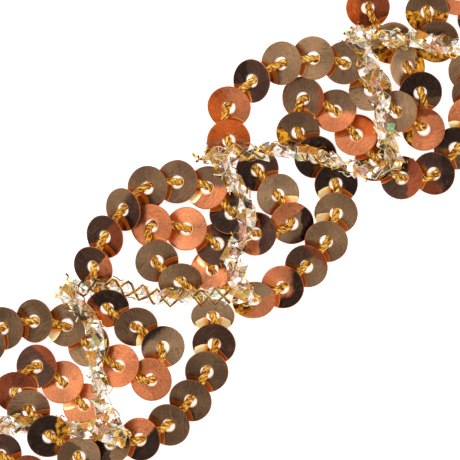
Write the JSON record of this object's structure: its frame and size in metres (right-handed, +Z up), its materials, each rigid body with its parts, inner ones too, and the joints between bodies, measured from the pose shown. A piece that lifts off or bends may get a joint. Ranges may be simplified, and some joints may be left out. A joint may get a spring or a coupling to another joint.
{
  "type": "sequin trim",
  "caption": "Flat trim of overlapping copper and bronze sequins strung on gold yarns, laid in scallops and inner loops and held by a zigzag braid of clear film.",
  "frame": {"origin": "middle of the trim's length and width, on the surface it lies on", "axes": "+X along the trim, +Y across it towards the left sequin string, +Z up, out of its face"},
  "size_m": [0.1108, 0.0328, 0.0053],
  "materials": {
    "sequin_foil": "metallised copper and bronze foil with fine brushed rings",
    "gold_yarn": "three-ply metallic gold yarn",
    "clear_film": "clear iridescent film with crossed gold thread"
  },
  "bodies": {
    "root": {"left_sequin_string": "sequin_foil", "right_sequin_string": "sequin_foil", "film_braid": "clear_film"}
  },
  "joints": []
}
